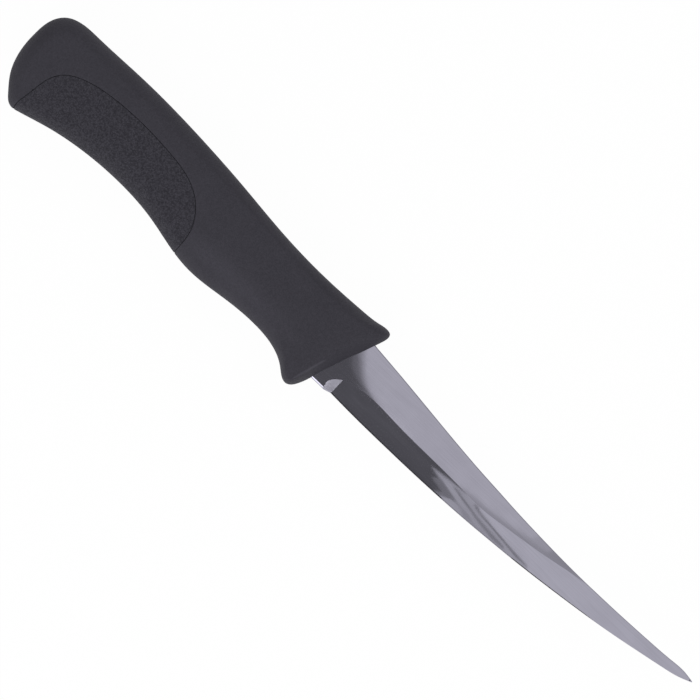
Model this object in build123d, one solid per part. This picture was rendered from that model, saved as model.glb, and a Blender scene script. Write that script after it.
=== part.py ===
from build123d import *
import os
from math import cos, hypot, pi, sin

# Driving sizes of the whole knife, in millimetres. The knife lies on its side: the tip
# points along +X, the back of the blade faces +Y and the cutting edge faces -Y.
blade_length = 149.7
blade_height = 21.2
blade_thickness = 1.8
handle_length = 147.95
handle_height = 38.1
handle_thickness = 20.0
lobe_lead = 4.45
blade_rise = 18.0

# Blade.
edge_thickness = 0.34
apex_thickness = 0.06
sharpening_height = 0.45
ricasso_depth = 8.0
ricasso_ease = 0.45
spine_ease = 0.2
plunge_run = 3.4
plunge_drop = 3.4
tang_length = 98.0
tang_top_front = 7.0
tang_top_back = 9.5
tang_bottom_front = 5.0
tang_bottom_back = 1.0
tang_end_radius = 3.2
lock_hole_diameter = 5.0

# Stiff core moulded round the tang.
core_wall = 2.5
core_half_thickness = 4.6
core_edge_radius = 1.5
core_front_setback = 12.0

# Soft outer shell.
crown_radius = 62.0
crown_reach = 26.0
crown_overrun = 6.0

# Textured inlay round the belly of the handle.
inlay_depth = 2.4
groove_width = 0.35
lock_post_diameter = 2.6
lock_post_sink = 0.6
panel_overrun = 12.0

# Derived places. X is zero at the middle of the knife's length, Y at the middle of the
# handle's height, and Z on the surface that the handle lies on.
knife_length = handle_length - lobe_lead + blade_length
handle_back = -knife_length / 2
handle_foot = -handle_height / 2
entry_x = handle_back + handle_length - lobe_lead
entry_y = handle_foot + blade_rise
middle_z = handle_thickness / 2

# Blade stations from the end of the plunge to the tip. Each row gives the place along the
# blade as a share of its length, then the edge, the top of the ground bevel and the back
# as shares of the blade's height from its middle line, then the thickness share.
station_shares = (
    (plunge_run / blade_length, -0.486, -0.217, 0.490, 1.00),
    (0.053, -0.493, -0.156, 0.469, 0.99),
    (0.100, -0.500, -0.123, 0.436, 0.98),
    (0.167, -0.501, -0.132, 0.384, 0.96),
    (0.267, -0.494, -0.144, 0.304, 0.91),
    (0.381, -0.467, -0.157, 0.227, 0.85),
    (0.468, -0.429, -0.085, 0.182, 0.79),
    (0.534, -0.393, -0.035, 0.155, 0.73),
    (0.601, -0.347, 0.028, 0.136, 0.66),
    (0.668, -0.292, 0.089, 0.126, 0.585),
    (0.735, -0.231, 0.113, 0.129, 0.51),
    (0.802, -0.160, 0.124, 0.139, 0.435),
    (0.868, -0.076, 0.142, 0.156, 0.37),
    (0.935, 0.014, 0.170, 0.182, 0.31),
    (0.975, 0.083, 0.184, 0.193, 0.28),
    (1.000, 0.151, 0.163, 0.167, 0.27),
)
ricasso_edge_share = -0.500
ricasso_spine_share = 0.505
plunge_steps = 6

# Holes of the tang, as shares of its length back from the blade's entry.
lock_hole_shares = (0.30, 0.58, 0.86)

# Handle outline in four stretches that share their ends. Each row gives a point of the
# side view, then the point of the flat side land that it slopes to, as shares of the
# handle's length and height, then how much the slope is a bevel rather than a round.
front_shares = (
    (0.9063, 0.000, 0.905, 0.123, 0.0),
    (0.9198, 0.026, 0.912, 0.129, 0.3),
    (0.9273, 0.068, 0.916, 0.147, 0.6),
    (0.9347, 0.131, 0.919, 0.178, 1.0),
    (0.9442, 0.249, 0.926, 0.262, 1.0),
    (0.9570, 0.394, 0.9355, 0.394, 1.0),
    (0.9692, 0.525, 0.940, 0.525, 0.7),
    (0.9800, 0.625, 0.9415, 0.593, 0.4),
    (0.9895, 0.727, 0.9425, 0.646, 0.2),
    (0.9969, 0.808, 0.943, 0.688, 0.0),
    (1.0000, 0.866, 0.9436, 0.714, 0.0),
)
spine_shares = (
    (1.0000, 0.866, 0.9436, 0.714, 0.0),
    (0.9972, 0.897, 0.941, 0.738, 0.0),
    (0.9882, 0.910, 0.934, 0.745, 0.0),
    (0.9638, 0.898, 0.916, 0.732, 0.0),
    (0.9164, 0.879, 0.8887, 0.709, 0.0),
    (0.8488, 0.867, 0.8346, 0.693, 0.0),
    (0.7676, 0.866, 0.7602, 0.682, 0.0),
    (0.6594, 0.892, 0.6587, 0.698, 0.0),
    (0.5512, 0.937, 0.5505, 0.735, 0.0),
    (0.4295, 0.976, 0.4288, 0.772, 0.0),
    (0.2401, 1.000, 0.2462, 0.798, 0.0),
    (0.1048, 0.988, 0.1312, 0.803, 0.0),
    (0.0541, 0.974, 0.0907, 0.798, 0.0),
    (0.0264, 0.927, 0.0704, 0.777, 0.0),
    (0.0081, 0.835, 0.0555, 0.724, 0.0),
    (0.0000, 0.604, 0.0474, 0.577, 0.0),
)
butt_shares = (
    (0.0000, 0.604, 0.0474, 0.577, 0.0),
    (0.0054, 0.420, 0.0528, 0.457, 0.0),
    (0.0216, 0.262, 0.0663, 0.367, 0.0),
    (0.0467, 0.136, 0.0812, 0.310, 0.0),
    (0.0629, 0.079, 0.0920, 0.283, 0.0),
    (0.0737, 0.068, 0.1001, 0.276, 0.0),
)
belly_shares = (
    (0.0737, 0.068, 0.1001, 0.276, 0.0),
    (0.0859, 0.076, 0.1096, 0.276, 0.0),
    (0.1589, 0.155, 0.1718, 0.336, 0.0),
    (0.2401, 0.214, 0.2428, 0.404, 0.0),
    (0.3483, 0.241, 0.3477, 0.441, 0.0),
    (0.4566, 0.206, 0.4559, 0.409, 0.0),
    (0.5377, 0.139, 0.5337, 0.352, 0.0),
    (0.5918, 0.117, 0.5878, 0.331, 0.0),
    (0.6865, 0.152, 0.6825, 0.352, 0.0),
    (0.7812, 0.173, 0.7737, 0.367, 0.0),
    (0.8353, 0.143, 0.8245, 0.341, 0.0),
    (0.8745, 0.070, 0.876, 0.205, 0.0),
    (0.8921, 0.018, 0.894, 0.142, 0.0),
    (0.9063, 0.000, 0.905, 0.123, 0.0),
)
level_angles = (-90, -72, -54, -36, -18, 0, 18, 36, 54, 72, 90)
bevel_power = 1.5

# Side crown stations: place along the handle, middle of the handle's height there, and
# half thickness, as shares of the handle's length, height and half thickness.
crown_shares = (
    (0.00, 0.60, 0.955),
    (0.11, 0.58, 1.010),
    (0.25, 0.60, 1.025),
    (0.42, 0.58, 0.990),
    (0.60, 0.53, 0.915),
    (0.75, 0.52, 0.895),
    (0.87, 0.48, 1.005),
    (1.00, 0.50, 1.030),
)

# Seam of the inlay in the side view, and its lock posts, as shares of the handle's
# length and height. The seam's ends run on below the belly.
seam_shares = (
    (0.0762, 0.093),
    (0.0800, 0.260),
    (0.0902, 0.463),
    (0.1040, 0.546),
    (0.1485, 0.659),
    (0.2160, 0.715),
    (0.2955, 0.728),
    (0.3968, 0.703),
    (0.4645, 0.648),
    (0.5100, 0.533),
    (0.5375, 0.320),
    (0.5416, 0.145),
)
lock_post_shares = (
    (0.146, 0.380),
    (0.241, 0.415),
    (0.477, 0.339),
)


def handle_place(along_share, height_share):
    """The side view point at these shares of the handle's length and height."""
    return handle_back + along_share * handle_length, handle_foot + height_share * handle_height


def blade_section(along, edge, shoulder, spine, half, ground_half, apex_half, ground_top, ease):
    """One cross section of the blade: back, flats, ground bevels and sharpened edge."""
    corners = (
        (spine, half - ease),
        (spine - ease, half),
        (shoulder, half),
        (ground_top, ground_half),
        (edge, apex_half),
    )
    left = [Vector(along, entry_y + y, middle_z + z) for y, z in corners]
    right = [Vector(along, entry_y + y, middle_z - z) for y, z in reversed(corners)]
    return Wire.make_polygon(left + right, close=True)


def ground_section(row):
    """The blade's section at one station between the plunge and the tip."""
    along_share, edge_share, shoulder_share, spine_share, thickness_share = row
    edge = edge_share * blade_height
    return blade_section(
        entry_x + along_share * blade_length,
        edge,
        shoulder_share * blade_height,
        spine_share * blade_height,
        thickness_share * blade_thickness / 2,
        thickness_share * edge_thickness / 2,
        apex_thickness / 2,
        edge + thickness_share * sharpening_height,
        thickness_share * spine_ease,
    )


def plunge_section(angle):
    """The section where the bevel runs out; angle is zero at the ricasso, pi / 2 at the end."""
    run = 1 - cos(angle)
    first = station_shares[0]
    edge = ricasso_edge_share * blade_height * (1 - run) + first[1] * blade_height * run
    spine = ricasso_spine_share * blade_height * (1 - run) + first[3] * blade_height * run
    shoulder = first[2] * blade_height - plunge_drop * (1 - sin(angle))
    half = blade_thickness / 2
    ease_height = ricasso_ease * (1 - run) + sharpening_height * run
    return blade_section(
        entry_x + first[0] * blade_length - plunge_run * (1 - run),
        edge,
        shoulder,
        spine,
        half,
        half * (1 - run) + edge_thickness / 2 * run,
        (half - ricasso_ease) * (1 - run) + apex_thickness / 2 * run,
        edge + ease_height,
        spine_ease,
    )


def tang_plate():
    """The hidden tang, tapering back from the ricasso, with its lock holes."""
    front = entry_x - ricasso_depth
    back = entry_x - tang_length
    outline = Polyline(
        (front, entry_y - tang_bottom_front),
        (back, entry_y + tang_bottom_back),
        (back, entry_y + tang_top_back),
        (front, entry_y + tang_top_front),
        close=True,
    )
    face = make_face(outline)
    face = fillet(face.vertices().group_by(Axis.X)[0], tang_end_radius)
    plate = extrude(face, blade_thickness / 2, both=True).moved(Location((0, 0, middle_z)))
    for share in lock_hole_shares:
        along = share * tang_length
        rise = (along - ricasso_depth) / (tang_length - ricasso_depth)
        low = -tang_bottom_front * (1 - rise) + tang_bottom_back * rise
        high = tang_top_front * (1 - rise) + tang_top_back * rise
        place = Location((entry_x - along, entry_y + (low + high) / 2, middle_z))
        plate -= Cylinder(lock_hole_diameter / 2, handle_thickness).moved(place)
    return plate


def make_blade():
    """Blade, ricasso and tang in one piece of steel."""
    ground = Solid.make_loft([ground_section(row) for row in station_shares])
    angles = [step * pi / 2 / plunge_steps for step in range(plunge_steps + 1)]
    sections = [plunge_section(angle) for angle in angles]
    root = sections[0].moved(Location((-ricasso_depth, 0, 0)))
    plunge = Solid.make_loft([root] + sections, ruled=True)
    return Part() + [ground, plunge] + tang_plate()


def level_points(table, inset, angle):
    """One stretch's points at a level, moved from the widest outline towards the side land."""
    rounded = 1 - cos(angle)
    bevelled = abs(sin(angle)) ** bevel_power
    points = []
    for along, height, land_along, land_height, bevel in table:
        x, y = handle_place(along, height)
        land_x, land_y = handle_place(land_along, land_height)
        slope = bevel * bevelled + (1 - bevel) * rounded
        start = inset / hypot(land_x - x, land_y - y)
        way = start + (1 - start) * slope
        points.append((x + (land_x - x) * way, y + (land_y - y) * way))
    return points


def curve_places(points):
    """Distances along a stretch of points, one for each point."""
    places = [0.0]
    for (x, y), (next_x, next_y) in zip(points, points[1:]):
        places.append(places[-1] + hypot(next_x - x, next_y - y))
    return places


def level_wire(half_thickness, inset, angle):
    """The handle's outline at one level, from its widest at angle zero to its side land."""
    level = middle_z + half_thickness * sin(angle)
    forward, inward = Vector(1, 0, 0), Vector(0, 1, 0)
    ends = (forward, inward, -inward, forward, forward)
    edges = []
    for number, table in enumerate((front_shares, spine_shares, butt_shares, belly_shares)):
        places = curve_places(level_points(table, 0, 0))
        points = level_points(table, inset, angle)
        own_places = curve_places(points)
        first_pace = own_places[1] / places[1]
        last_pace = (own_places[-1] - own_places[-2]) / (places[-1] - places[-2])
        curve = Edge.make_spline(
            [(x, y, level) for x, y in points],
            tangents=(ends[number] * first_pace, ends[number + 1] * last_pace),
            parameters=places,
            scale=False,
        )
        edges.append(curve)
    return Wire(edges)


def crown_wire(inset, row):
    """One section of the body that gives the handle its crowned, waisted sides."""
    along_share, height_share, thickness_share = row
    x = handle_back - crown_overrun + along_share * (handle_length + 2 * crown_overrun)
    y = handle_foot + height_share * handle_height
    half = thickness_share * handle_thickness / 2 - inset
    drop = crown_radius - (crown_radius ** 2 - crown_reach ** 2) ** 0.5
    low = half - drop
    top = ThreePointArc(
        (x, y - crown_reach, middle_z + low),
        (x, y, middle_z + half),
        (x, y + crown_reach, middle_z + low),
    )
    bottom = ThreePointArc(
        (x, y + crown_reach, middle_z - low),
        (x, y, middle_z - half),
        (x, y - crown_reach, middle_z - low),
    )
    sides = (Line(top @ 1, bottom @ 0), Line(bottom @ 1, top @ 0))
    return Wire([top, sides[0], bottom, sides[1]])


def handle_form(inset):
    """The handle's outer form, or the same form drawn in by an inset on every side."""
    half_thickness = handle_thickness / 2 - inset
    wires = [level_wire(half_thickness, inset, angle * pi / 180) for angle in level_angles]
    form = Solid.make_loft(wires)
    crown = Solid.make_loft([crown_wire(inset, row) for row in crown_shares])
    return Part() + form & crown


def make_core():
    """Stiff bar round the tang, before the steel is taken out of it."""
    front = entry_x - core_front_setback
    back = entry_x - tang_length - core_wall
    outline = Polyline(
        (front, entry_y - tang_bottom_front - core_wall),
        (back, entry_y + tang_bottom_back - core_wall),
        (back, entry_y + tang_top_back + core_wall),
        (front, entry_y + tang_top_front + core_wall),
        close=True,
    )
    bar = extrude(make_face(outline), core_half_thickness, both=True)
    bar = fillet(bar.edges().filter_by(Axis.Z), tang_end_radius)
    bar = fillet(bar.edges().filter_by(Axis.Z, reverse=True), core_edge_radius)
    return bar.moved(Location((0, 0, middle_z)))


def panel_prism(growth):
    """Everything inside the inlay's seam, widened by a growth, through the whole handle."""
    seam = [handle_place(along, height) for along, height in seam_shares]
    floor = handle_foot - panel_overrun
    around = [(seam[0][0], floor)] + seam + [(seam[-1][0], floor)]
    points = []
    for (last_x, last_y), (x, y), (next_x, next_y) in zip(around, seam, around[2:]):
        step_x, step_y = next_x - last_x, next_y - last_y
        scale = growth / hypot(step_x, step_y)
        points.append((x - step_y * scale, y + step_x * scale))
    curve = Spline(points, tangents=((0, 1), (0, -1)), tangent_scalars=(1, 1))
    below = Polyline(points[-1], (points[-1][0], floor), (points[0][0], floor), points[0])
    return extrude(make_face([curve, below]), handle_thickness)


def lock_posts():
    """Posts that tie the inlay's two sides together through the shell."""
    posts = Part()
    length = handle_thickness - 2 * (inlay_depth - lock_post_sink)
    for along, height in lock_post_shares:
        x, y = handle_place(along, height)
        posts += Cylinder(lock_post_diameter / 2, length).moved(Location((x, y, middle_z)))
    return posts


os.makedirs("parts", exist_ok=True)

blade = make_blade()
core_bar = make_core()
outer_form = handle_form(0)
inner_form = handle_form(inlay_depth)
posts = lock_posts()

handle_core = core_bar - blade
grip_inlay = (outer_form & panel_prism(-groove_width / 2)) - inner_form + posts
pocket = panel_prism(groove_width / 2) - inner_form
handle_body = outer_form - pocket - [blade, core_bar] - posts

for name, piece in (
    ("blade", blade),
    ("handle_core", handle_core),
    ("handle_body", handle_body),
    ("grip_inlay", grip_inlay),
):
    export_step(piece, f"parts/{name}.step")
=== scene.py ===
"""Fillet knife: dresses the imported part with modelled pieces, finishes and a plain studio."""

import logging
import math
from dataclasses import dataclass, field
from enum import Enum
from typing import Dict, List, Optional, Sequence, Tuple, Union

import bpy
import numpy as np
from mathutils import Matrix, Vector
from mathutils.bvhtree import BVHTree
from mathutils.geometry import delaunay_2d_cdt


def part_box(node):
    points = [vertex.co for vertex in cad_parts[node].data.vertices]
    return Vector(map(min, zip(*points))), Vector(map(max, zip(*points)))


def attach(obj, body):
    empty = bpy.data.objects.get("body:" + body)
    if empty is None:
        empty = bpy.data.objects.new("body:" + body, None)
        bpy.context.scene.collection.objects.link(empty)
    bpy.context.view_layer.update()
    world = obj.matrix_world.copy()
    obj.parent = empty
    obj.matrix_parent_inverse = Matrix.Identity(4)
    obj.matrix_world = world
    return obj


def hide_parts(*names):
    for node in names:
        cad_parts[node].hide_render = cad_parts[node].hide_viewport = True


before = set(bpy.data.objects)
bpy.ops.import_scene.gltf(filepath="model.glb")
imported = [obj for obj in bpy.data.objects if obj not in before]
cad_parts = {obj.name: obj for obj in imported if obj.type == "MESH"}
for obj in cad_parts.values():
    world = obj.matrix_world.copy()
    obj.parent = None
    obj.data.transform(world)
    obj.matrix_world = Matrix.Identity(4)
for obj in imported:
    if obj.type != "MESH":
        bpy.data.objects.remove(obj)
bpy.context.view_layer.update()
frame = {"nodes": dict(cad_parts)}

log = logging.getLogger("fillet_knife")

MM = 0.001
ROOT_BODY = "root"

Pair = Tuple[float, float]
Place = Tuple[float, float, float]
Colour = Tuple[float, float, float]
Size = Union[float, Place]
Outline = Sequence[Pair]
Faces = Sequence[Sequence[int]]

# The handle's outline in four stretches, each from the end of the last. A row gives a point
# of the widest outline, then the point of the flat side land that it slopes to, as shares
# of the handle's length and height.
FRONT_SHARES = (
    (0.9063, 0.000, 0.905, 0.123),
    (0.9198, 0.026, 0.912, 0.129),
    (0.9273, 0.068, 0.916, 0.147),
    (0.9347, 0.131, 0.919, 0.178),
    (0.9442, 0.249, 0.926, 0.262),
    (0.9570, 0.394, 0.9355, 0.394),
    (0.9692, 0.525, 0.940, 0.525),
    (0.9800, 0.625, 0.9415, 0.593),
    (0.9895, 0.727, 0.9425, 0.646),
    (0.9969, 0.808, 0.943, 0.688),
    (1.0000, 0.866, 0.9436, 0.714),
)
SPINE_SHARES = (
    FRONT_SHARES[-1],
    (0.9972, 0.897, 0.941, 0.738),
    (0.9882, 0.910, 0.934, 0.745),
    (0.9638, 0.898, 0.916, 0.732),
    (0.9164, 0.879, 0.8887, 0.709),
    (0.8488, 0.867, 0.8346, 0.693),
    (0.7676, 0.866, 0.7602, 0.682),
    (0.6594, 0.892, 0.6587, 0.698),
    (0.5512, 0.937, 0.5505, 0.735),
    (0.4295, 0.976, 0.4288, 0.772),
    (0.2401, 1.000, 0.2462, 0.798),
    (0.1048, 0.988, 0.1312, 0.803),
    (0.0541, 0.974, 0.0907, 0.798),
    (0.0264, 0.927, 0.0704, 0.777),
    (0.0081, 0.835, 0.0555, 0.724),
    (0.0000, 0.604, 0.0474, 0.577),
)
BUTT_SHARES = (
    SPINE_SHARES[-1],
    (0.0054, 0.420, 0.0528, 0.457),
    (0.0216, 0.262, 0.0663, 0.367),
    (0.0467, 0.136, 0.0812, 0.310),
    (0.0629, 0.079, 0.0920, 0.283),
    (0.0737, 0.068, 0.1001, 0.276),
)
BELLY_SHARES = (
    BUTT_SHARES[-1],
    (0.0859, 0.076, 0.1096, 0.276),
    (0.1589, 0.155, 0.1718, 0.336),
    (0.2401, 0.214, 0.2428, 0.404),
    (0.3483, 0.241, 0.3477, 0.441),
    (0.4566, 0.206, 0.4559, 0.409),
    (0.5377, 0.139, 0.5337, 0.352),
    (0.5918, 0.117, 0.5878, 0.331),
    (0.6865, 0.152, 0.6825, 0.352),
    (0.7812, 0.173, 0.7737, 0.367),
    (0.8353, 0.143, 0.8245, 0.341),
    (0.8745, 0.070, 0.876, 0.205),
    (0.8921, 0.018, 0.894, 0.142),
    FRONT_SHARES[0],
)
# How much the slope at each point of the front is a bevel. All other slopes are rounds.
FRONT_BEVEL_SHARES = (0.0, 0.3, 0.6, 1.0, 1.0, 1.0, 0.7, 0.4, 0.2, 0.0, 0.0)
# Which way the outline runs where its stretches meet, from the guard's foot round.
STRETCH_ENDS = ((1.0, 0.0), (0.0, 1.0), (0.0, -1.0), (1.0, 0.0), (1.0, 0.0))

# Crown of the sides: place along the handle, middle of its height and half thickness.
CROWN_SHARES = (
    (0.00, 0.60, 0.955),
    (0.11, 0.58, 1.010),
    (0.25, 0.60, 1.025),
    (0.42, 0.58, 0.990),
    (0.60, 0.53, 0.915),
    (0.75, 0.52, 0.895),
    (0.87, 0.48, 1.005),
    (1.00, 0.50, 1.030),
)

# Seam of the inlay as shares of the handle's length and height.
SEAM_SHARES = (
    (0.0788, 0.093),
    (0.0847, 0.260),
    (0.0953, 0.463),
    (0.1077, 0.546),
    (0.1505, 0.651),
    (0.2160, 0.709),
    (0.2955, 0.728),
    (0.3968, 0.708),
    (0.4672, 0.648),
    (0.5105, 0.533),
    (0.5399, 0.320),
    (0.5419, 0.145),
)

# Blade stations: place along the blade as a share of its length, then edge, top of the
# ground bevel and back as shares of its height, then the thickness share.
STATION_SHARES = (
    (0.0227, -0.486, -0.217, 0.490, 1.00),
    (0.053, -0.493, -0.156, 0.469, 0.99),
    (0.100, -0.500, -0.116, 0.436, 0.98),
    (0.167, -0.501, -0.132, 0.384, 0.96),
    (0.267, -0.494, -0.143, 0.304, 0.91),
    (0.381, -0.467, -0.156, 0.227, 0.85),
    (0.427, -0.449, -0.160, 0.204, 0.82),
    (0.468, -0.429, -0.130, 0.182, 0.79),
    (0.534, -0.393, -0.068, 0.155, 0.73),
    (0.601, -0.347, 0.005, 0.136, 0.66),
    (0.668, -0.292, 0.087, 0.126, 0.585),
    (0.735, -0.231, 0.113, 0.129, 0.51),
    (0.802, -0.160, 0.124, 0.139, 0.435),
    (0.868, -0.076, 0.142, 0.156, 0.37),
    (0.935, 0.014, 0.170, 0.182, 0.31),
    (0.975, 0.083, 0.184, 0.193, 0.28),
    (1.000, 0.151, 0.163, 0.167, 0.27),
)
# Corners of the eased back: shares of the ease down from the back and in from the flat.
BACK_EASE_SHARES = ((0.0, 1.0), (0.12, 0.5), (0.5, 0.12), (1.0, 0.0))
# Corners of the sharpened edge: share of its height, then of its depth on the ricasso.
EDGE_EASE_SHARES = ((0.12, 0.0934), (0.593, 0.4615), (1.0, 1.0))

# What the polished steel mirrors, as outlines on the blade in millimetres along and up
# from the middle of its heel, each with how bright its card is, where 1 is white.
HEEL_FOOT = ((7, -6), (3.5, -9), (1.5, -12.5))
HEEL_SHADES = (
    (0.74, ((-10, 17), (1.4, 9.5), (1.9, 8), (2.6, 6.3), (4, 5.1), (5.5, 3.6), (7, 2.0),
            (8.5, 0.6), (10, -0.3), (11.5, -1.2), (13.5, -1.8), (16, -2.2), (19.5, -2.6),
            (15, -4.5), *HEEL_FOOT, (-10, -12.5))),
    (0.48, ((-10, 14), (1.6, 6), (2.5, 4.6), (4, 3.7), (5.5, 2.0), (7, 0.9), (8.5, -0.3),
            (10, -1.0), (11.5, -1.5), (13, -1.9), (15.5, -2.3), (17, -2.7), (13, -4.5),
            *HEEL_FOOT, (-10, -12.5))),
    (0.30, ((-10, 12), (1, 4.8), (2.5, 3.4), (4, 2.2), (5.5, 1.0), (7, -0.2), (8.5, -0.9),
            (10, -1.4), (11.5, -1.75), (13.5, -2.1), (16, -2.6), (12, -4.5), *HEEL_FOOT,
            (-10, -12.5))),
    (0.18, ((-12, 10), (0, 3.4), (2.5, 0.4), (4, -0.4), (5.5, -1.0), (7, -1.45), (8.5, -1.75),
            (10, -2.0), (11.5, -2.15), (13.5, -2.35), (15, -2.7), (10, -4.5), *HEEL_FOOT,
            (-12, -12.5))),
)
FLAT_TIP = ((97, 4.5), (104, 3.0), (100, 1.0), (94, -0.3), (88, -1.3), (81, -2.4), (73, -3.6),
            (64, -5.0))
FLAT_SHADES = (
    (0.83, ((53, -2.9), (58, -2.5), (61, -2.1), (64, -2.0), (67, -1.7), (70, -1.2),
            (73, -0.85), (76, -0.4), (79, 0.2), (81.5, 1.0), (83.5, 4.5), *FLAT_TIP,
            (53, -5.2))),
    (0.64, ((55, -3.1), (58, -2.8), (61, -2.6), (64, -2.35), (67, -2.1), (70, -1.7),
            (73, -1.35), (76, -1.0), (79, -0.55), (82, -0.1), (85, 0.4), (88, 1.0),
            (89.5, 4.5), *FLAT_TIP, (55, -5.2))),
)
BEVEL_SHADES = (
    (0.80, ((44, -2.0), (62.3, -2.4), (63.0, -4.0), (64.5, -4.4), (70, -5.1), (76, -5.6),
            (82, -6.0), (87, -6.4), (86, -11), (44, -13))),
    (0.40, ((42, -2.5), (57, -2.6), (56.8, -3.4), (54, -3.55), (52, -3.8), (50, -3.95),
            (48, -4.15), (46, -4.35), (44, -4.65), (42.8, -4.85), (44, -5.1), (46, -5.4),
            (48, -5.6), (50, -5.95), (52, -6.4), (54, -6.8), (57.3, -7.45), (54.3, -8.1),
            (52.6, -8.8), (51.4, -9.4), (50.5, -10), (48, -12.5), (40, -12.5))),
    (0.188, ((0, 5), (12, 0), (20, -0.7), (50, -1.4), (57, -2.4), (56, -3.25), (53, -3.5),
             (50, -3.7), (48, -3.9), (46, -4.15), (44, -4.5), (42.4, -4.85), (44, -5.25),
             (45.5, -5.7), (47, -6.1), (45.7, -6.6), (44.8, -7.0), (46, -7.5), (48, -7.9),
             (50.6, -8.3), (50, -8.8), (49, -9.3), (48, -10), (46, -12.5), (0, -13))),
    (0.45, ((52, -4.45), (54, -4.35), (56, -4.8), (58, -5.15), (60, -5.5), (62, -5.85),
            (64, -6.2), (66, -6.45), (69, -6.65), (72, -6.85), (75, -7.0), (77.5, -7.4),
            (77, -7.9), (75, -8.0), (72, -8.1), (69, -7.75), (66, -7.35), (64, -7.0),
            (62, -6.6), (60, -6.25), (58, -5.9), (56, -5.55), (54, -5.1), (52, -4.75))),
    (0.41, ((60.8, -3.85), (62, -3.75), (63.2, -4.25), (64, -4.5), (66, -4.8), (69, -5.0),
            (72, -5.3), (75, -5.55), (78, -5.85), (82, -6.15), (86, -6.5), (87, -6.8),
            (82, -7.0), (78, -6.5), (75, -6.2), (72, -5.9), (69, -5.6), (66, -5.35),
            (64, -5.1), (62.3, -4.7), (60.8, -4.2))),
    (0.62, ((56, -7.2), (59, -7.45), (61.5, -7.7), (64, -8.3), (66, -8.7), (69, -8.3),
            (70, -8.7), (66, -9.3), (61, -9.5), (59, -8.3), (56, -7.9))),
    (0.204, ((9, -5.2), (16, -4.8), (24, -4.8), (36, -4.7), (42, -4.6), (42, -6.6), (36, -6.4),
             (24, -6.3), (16, -6.3), (9, -6.6))),
    (0.172, ((9, -8.8), (24, -8.8), (36, -8.6), (44, -8.8), (45, -12.6), (9, -12.8))),
)

# Rectangular cards over the knife: name, ends along it, ends across it and brightness.
HUNG_CARDS = (
    ("edge_shade", (-30 * MM, 56 * MM), (-58 * MM, -95 * MM), 0.10),
    ("edge_shade_middle", (56 * MM, 90 * MM), (-58 * MM, -95 * MM), 0.60),
    ("edge_shade_tip", (90 * MM, 180 * MM), (-58 * MM, -95 * MM), 0.12),
    ("spine_shade", (-10 * MM, 180 * MM), (50 * MM, 130 * MM), 0.25),
    ("scoop_light", (10 * MM, 31 * MM), (-7 * MM, -18.5 * MM), 3.3),
    ("scoop_light_far", (31 * MM, 62 * MM), (-7 * MM, -18.5 * MM), 0.45),
    ("scoop_light_low", (12 * MM, 34 * MM), (-36 * MM, -56 * MM), 3.3),
    ("scoop_light_low_far", (34 * MM, 75 * MM), (-36 * MM, -56 * MM), 0.6),
)
# Soft lamps: name, place, width and height in metres, and how bright the face is.
LAMPS = (
    ("side_softbox", (0.12, -0.55, 0.45), (0.8, 0.6), 1.78),
    ("front_softbox", (0.08, 0.42, 0.42), (0.6, 0.5), 0.79),
)

# Sockets of a Mix node that mixes colours: its two colours and its result.
FIRST_COLOUR, SECOND_COLOUR, MIXED_COLOUR = 6, 7, 2

# Values of a noise between which its dark parts go over into its light parts.
CLOUD_BAND = (0.3, 0.7)
GRAIN_BAND = (0.35, 0.65)


class Slot(Enum):
    """Material slot names listed beside the new pieces; the pieces' finishes are built here and these
    names are not used.
    """

    BLADE = "blade_steel"
    SHELL = "shell_plastic"
    INLAY = "inlay_rubber"


class PackedNode(Enum):
    """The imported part's nodes."""

    BLADE = "blade"
    CORE = "handle_core"
    BODY = "handle_body"
    INLAY = "grip_inlay"


class SteelFace(Enum):
    """The blade's kinds of face, numbered as its materials are."""

    FLAT = 0
    BEVEL = 1
    SCOOP = 2


# Curves, plan views and meshes


def distances(points: np.ndarray) -> np.ndarray:
    """Distance of each point from the first, along the line through them."""
    steps = np.hypot(*np.diff(points, axis=0).T)
    return np.concatenate([[0.0], np.cumsum(steps)])


def smooth_through(
    places: np.ndarray,
    values: np.ndarray,
    where: np.ndarray,
    first: Optional[np.ndarray] = None,
    last: Optional[np.ndarray] = None,
) -> np.ndarray:
    """Reads a smooth curve that passes through given values.

    Args:
        places: where the values are, rising.
        values: one row for each place.
        where: the places to read.
        first: how fast the curve starts, or None for the first chord.
        last: how fast the curve ends, or None for the last chord.

    Returns:
        One row for each place that is read.
    """
    count = len(places)
    gaps = np.diff(places)
    chords = np.diff(values, axis=0) / gaps[:, None]
    matrix = np.eye(count)
    paces = np.zeros_like(values, dtype=float)
    paces[0] = chords[0] if first is None else first
    paces[-1] = chords[-1] if last is None else last
    for row in range(1, count - 1):
        before, after = gaps[row - 1], gaps[row]
        matrix[row, row - 1:row + 2] = (after, 2 * (before + after), before)
        paces[row] = 3 * (after * chords[row - 1] + before * chords[row])
    paces = np.linalg.solve(matrix, paces)
    index = np.clip(np.searchsorted(places, where, side="right") - 1, 0, count - 2)
    gap = gaps[index][:, None]
    t = (np.asarray(where) - places[index])[:, None] / gap
    start = (1 + 2 * t) * (1 - t) ** 2 * values[index] + t * (1 - t) ** 2 * gap * paces[index]
    end = t ** 2 * (3 - 2 * t) * values[index + 1] + t ** 2 * (t - 1) * gap * paces[index + 1]
    return start + end


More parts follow.
